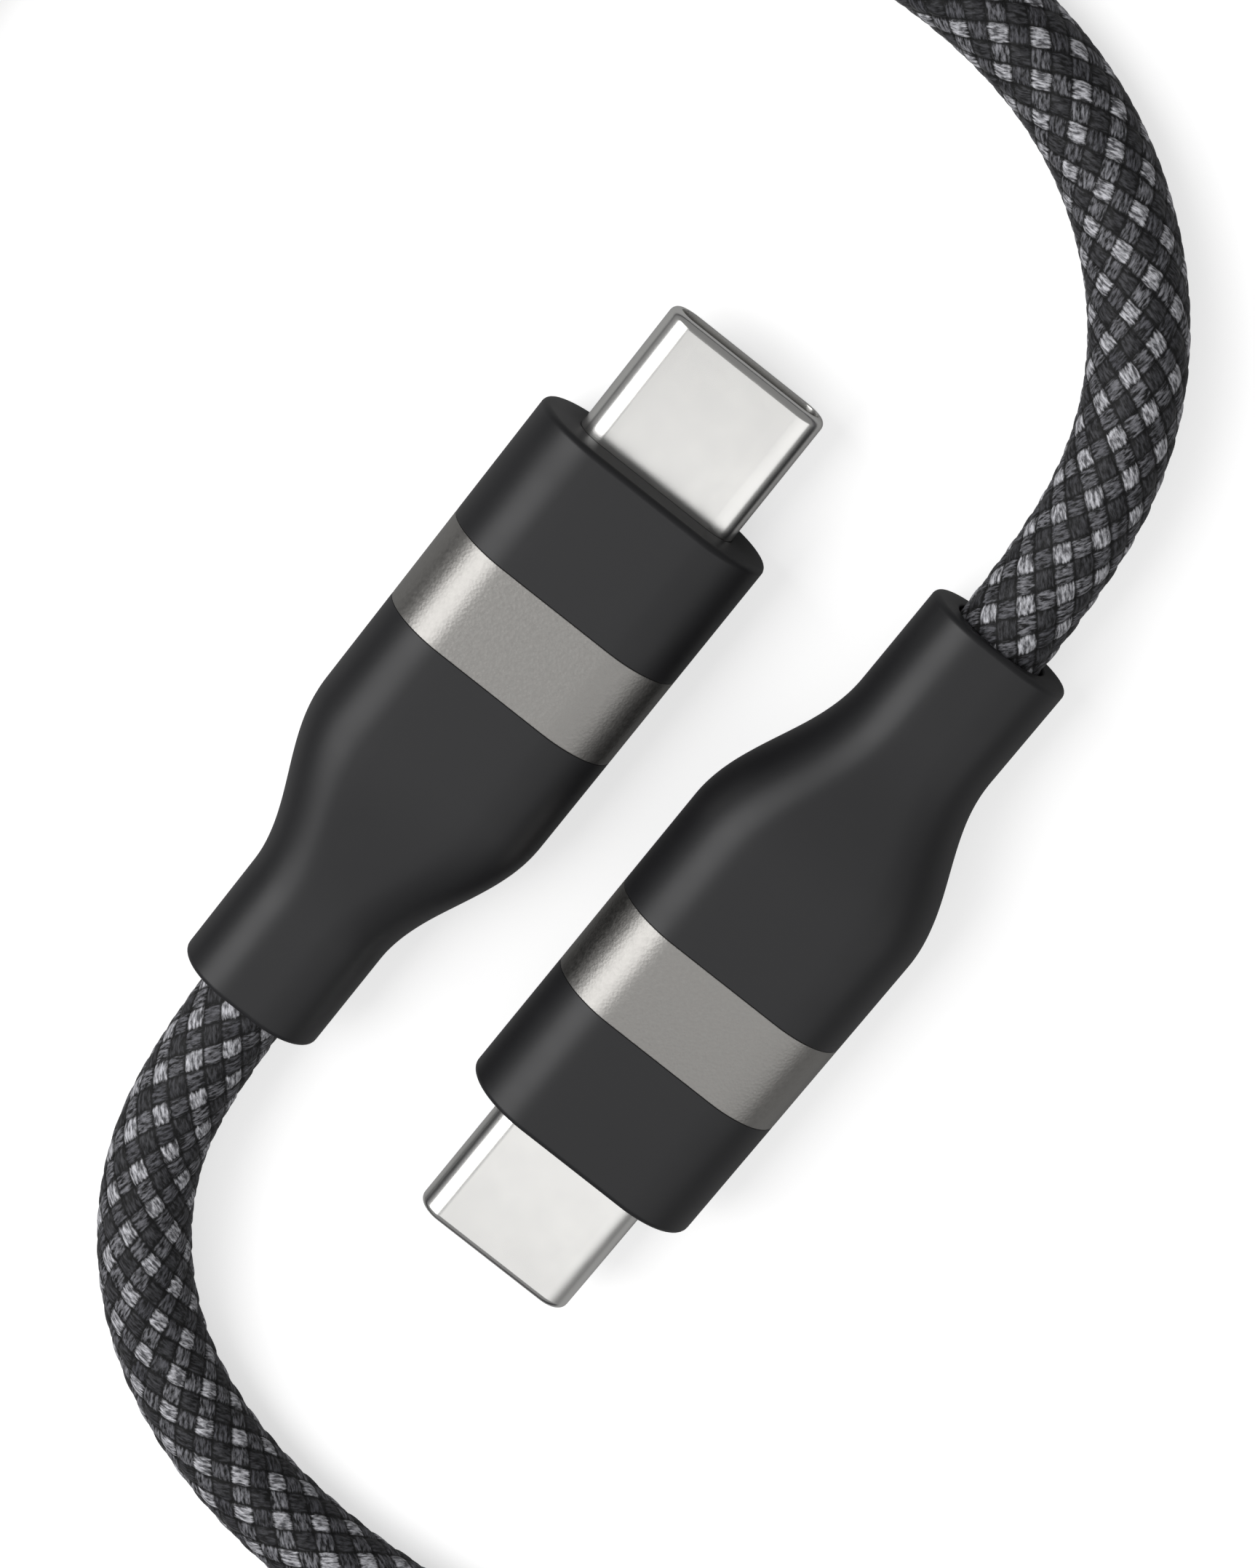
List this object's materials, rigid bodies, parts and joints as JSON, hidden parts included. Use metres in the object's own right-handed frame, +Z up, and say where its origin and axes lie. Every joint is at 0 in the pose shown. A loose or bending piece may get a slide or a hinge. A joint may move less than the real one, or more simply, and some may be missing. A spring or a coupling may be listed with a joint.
{
  "type": "charging cable",
  "caption": "Braided charging cable with a metal-banded black plug on each end, laid with its spare length in a flat coil.",
  "frame": {"origin": "on the surface that the cable lies on, midway between the two plugs", "axes": "+Z up; the plugs point 52 degrees from +X, one each way; the coil lies towards -Y"},
  "size_m": [0.0653, 0.1403, 0.0126],
  "materials": {
    "housing": "soft-touch black",
    "band": "bead-blasted, satin",
    "shell": "polished nickel over steel",
    "contact_block": "black liquid-crystal polymer",
    "contacts": "gold-plated",
    "spring_steel": "stamped, bright",
    "shield": "tin-plated",
    "board": "green solder mask",
    "chip": "moulded black",
    "capacitor": "ceramic",
    "inner_mould": "natural",
    "braid": "charcoal nylon braid",
    "jacket": "black",
    "crimp": "pressed",
    "wire_red": "insulation",
    "wire_black": "insulation",
    "wire_blue": "insulation",
    "wire_green": "insulation",
    "wire_white": "insulation"
  },
  "bodies": {
    "cable": {"plug_a_shell": "shell", "plug_a_contact_block": "contact_block", "plug_a_contacts_upper": "contacts", "plug_a_contacts_lower": "contacts", "plug_a_latch_plate": "spring_steel", "plug_a_ground_spring_upper": "spring_steel", "plug_a_ground_spring_lower": "spring_steel", "plug_a_shield_upper": "shield", "plug_a_shield_lower": "shield", "plug_a_circuit_board": "board", "plug_a_marker_chip": "chip", "plug_a_capacitors": "capacitor", "plug_a_inner_mould": "inner_mould", "plug_a_front_cap": "housing", "plug_a_metal_band": "band", "plug_a_rear_housing": "housing", "plug_a_cord_end": "jacket", "plug_a_crimp_ring": "crimp", "plug_a_wire_power": "wire_red", "plug_a_wire_ground": "wire_black", "plug_a_wire_control": "wire_blue", "plug_a_wire_data_plus": "wire_green", "plug_a_wire_data_minus": "wire_white", "plug_b_shell": "shell", "plug_b_contact_block": "contact_block", "plug_b_contacts_upper": "contacts", "plug_b_contacts_lower": "contacts", "plug_b_latch_plate": "spring_steel", "plug_b_ground_spring_upper": "spring_steel", "plug_b_ground_spring_lower": "spring_steel", "plug_b_shield_upper": "shield", "plug_b_shield_lower": "shield", "plug_b_circuit_board": "board", "plug_b_marker_chip": "chip", "plug_b_capacitors": "capacitor", "plug_b_inner_mould": "inner_mould", "plug_b_front_cap": "housing", "plug_b_metal_band": "band", "plug_b_rear_housing": "housing", "plug_b_cord_end": "jacket", "plug_b_crimp_ring": "crimp", "plug_b_wire_power": "wire_red", "plug_b_wire_ground": "wire_black", "plug_b_wire_control": "wire_blue", "plug_b_wire_data_plus": "wire_green", "plug_b_wire_data_minus": "wire_white", "cord_a": "braid", "cord_coil": "braid", "cord_b": "braid"},
    "plug_a_latch_left": {"plug_a_latch_left": "spring_steel"},
    "plug_a_latch_right": {"plug_a_latch_right": "spring_steel"},
    "plug_b_latch_left": {"plug_b_latch_left": "spring_steel"},
    "plug_b_latch_right": {"plug_b_latch_right": "spring_steel"}
  },
  "joints": [
    {"name": "plug_a_latch_left_flex", "type": "hinge", "parent": "cable", "child": "plug_a_latch_left", "pos_m": [-0.00175, 0.01634, 0.0032], "axis": [0, 0, 1], "range_deg": [0, 1.4], "stiffness_Nm_per_rad": 0.012},
    {"name": "plug_a_latch_right_flex", "type": "hinge", "parent": "cable", "child": "plug_a_latch_right", "pos_m": [0.00375, 0.01204, 0.0032], "axis": [0, 0, -1], "range_deg": [0, 1.4], "stiffness_Nm_per_rad": 0.012},
    {"name": "plug_b_latch_left_flex", "type": "hinge", "parent": "cable", "child": "plug_b_latch_left", "pos_m": [0.00175, -0.01634, 0.0032], "axis": [0, 0, 1], "range_deg": [0, 1.4], "stiffness_Nm_per_rad": 0.012},
    {"name": "plug_b_latch_right_flex", "type": "hinge", "parent": "cable", "child": "plug_b_latch_right", "pos_m": [-0.00375, -0.01204, 0.0032], "axis": [0, 0, -1], "range_deg": [0, 1.4], "stiffness_Nm_per_rad": 0.012}
  ]
}
